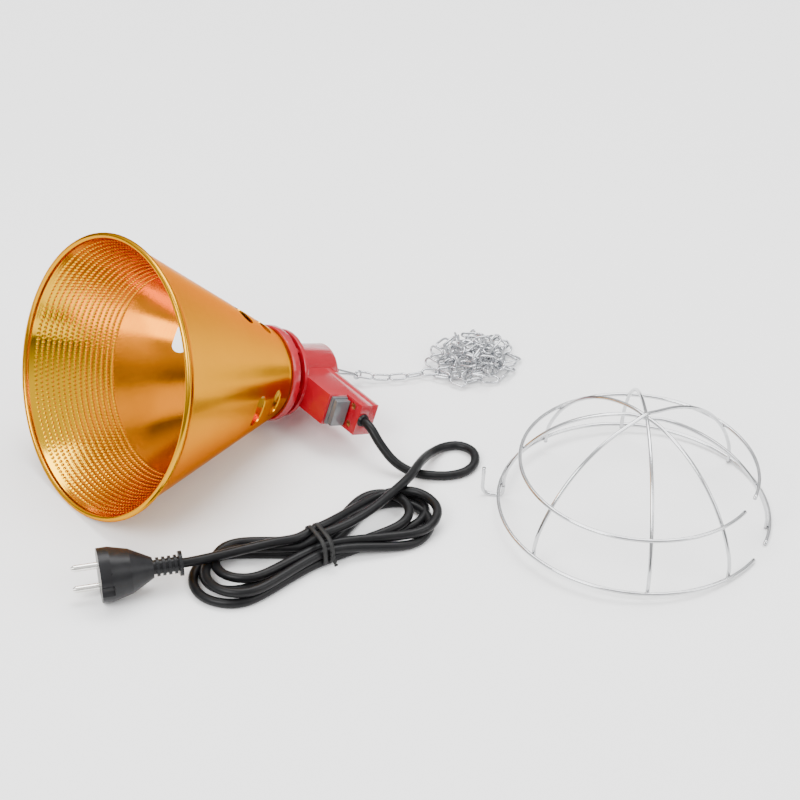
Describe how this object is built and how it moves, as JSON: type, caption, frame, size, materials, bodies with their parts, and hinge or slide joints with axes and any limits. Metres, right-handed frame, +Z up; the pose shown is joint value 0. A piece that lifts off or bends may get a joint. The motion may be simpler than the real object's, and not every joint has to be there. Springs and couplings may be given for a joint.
{
  "type": "heat lamp",
  "caption": "Conical heat lamp with a ceramic screw lampholder, switch arm, bail with hanging chain, tied mains cord with two-pin plug, and a lift-off domed wire guard.",
  "frame": {"origin": "centre of the bounding box of everything but the cord and plug, at floor level", "axes": "+X along the longest side, from the shade's mouth towards the guard; +Y away from the cord's tied hank towards the chain; +Z up"},
  "size_m": [0.5597, 0.3336, 0.1958],
  "materials": {
    "gold_aluminium": "satin",
    "red_plastic": "gloss",
    "zinc_steel": "satin",
    "guard_steel": "polished",
    "brass": "satin",
    "porcelain": "gloss",
    "black_pvc": "satin",
    "black_plastic": "gloss",
    "clear_boot": "gloss",
    "grey_plastic": "matte",
    "brown_lead": "matte",
    "blue_lead": "matte",
    "nickel": "polished"
  },
  "bodies": {
    "lamp": {"reflector_shade": "gold_aluminium", "rim_wire": "gold_aluminium", "shade_ring_nut": "zinc_steel", "shade_collar": "red_plastic", "lampholder_housing": "red_plastic", "housing_back": "red_plastic", "arm_cover": "red_plastic", "cover_screws": "brass", "porcelain_lampholder": "porcelain", "screw_shell": "brass", "centre_contact": "brass", "lampholder_screws": "zinc_steel", "switch_body": "black_plastic", "switch_bezel": "clear_boot", "switch_boot": "clear_boot", "switch_diode": "black_plastic", "live_lead": "brown_lead", "neutral_lead": "blue_lead", "cord_grip": "grey_plastic", "cord_grip_screws": "zinc_steel", "cord_bushing": "black_pvc", "hanger_lug": "red_plastic", "cord_lead": "black_pvc", "cord_hank": "black_pvc", "cord_tail": "black_pvc", "cord_tie": "black_pvc", "plug_body": "black_pvc", "plug_pins": "nickel", "plug_relief": "black_pvc"},
    "switch_rocker": {"switch_rocker": "black_plastic"},
    "bail": {"hanger_bail": "zinc_steel"},
    "chain": {"chain_run": "zinc_steel", "chain_heap": "zinc_steel"},
    "guard": {"guard_lower_ring": "guard_steel", "guard_upper_ring": "guard_steel", "guard_cross_wires": "guard_steel", "guard_hook": "guard_steel"}
  },
  "joints": [
    {"name": "switch_rock", "type": "hinge", "parent": "lamp", "child": "switch_rocker", "pos_m": [-0.04508, 0.02041, 0.0338], "axis": [0.7426, 0.5596, -0.3681], "range_deg": [0, 18]},
    {"name": "bail_swing", "type": "hinge", "parent": "lamp", "child": "bail", "pos_m": [-0.0489, 0.08664, 0.02353], "axis": [0.6018, -0.7986, 0], "range_deg": [0, 60]},
    {"name": "chain_follow", "type": "hinge", "parent": "bail", "child": "chain", "pos_m": [-0.02976, 0.10107, 0.00907], "axis": [0.6018, -0.7986, 0], "range_deg": [-60, 0]},
    {"name": "guard_lift", "type": "slide", "parent": "lamp", "child": "guard", "axis": [0, 0, 1], "range_m": [0, 0.12]}
  ],
  "couplings": [
    {"joint": "chain_follow", "follows": "bail_swing", "ratio": -1}
  ]
}
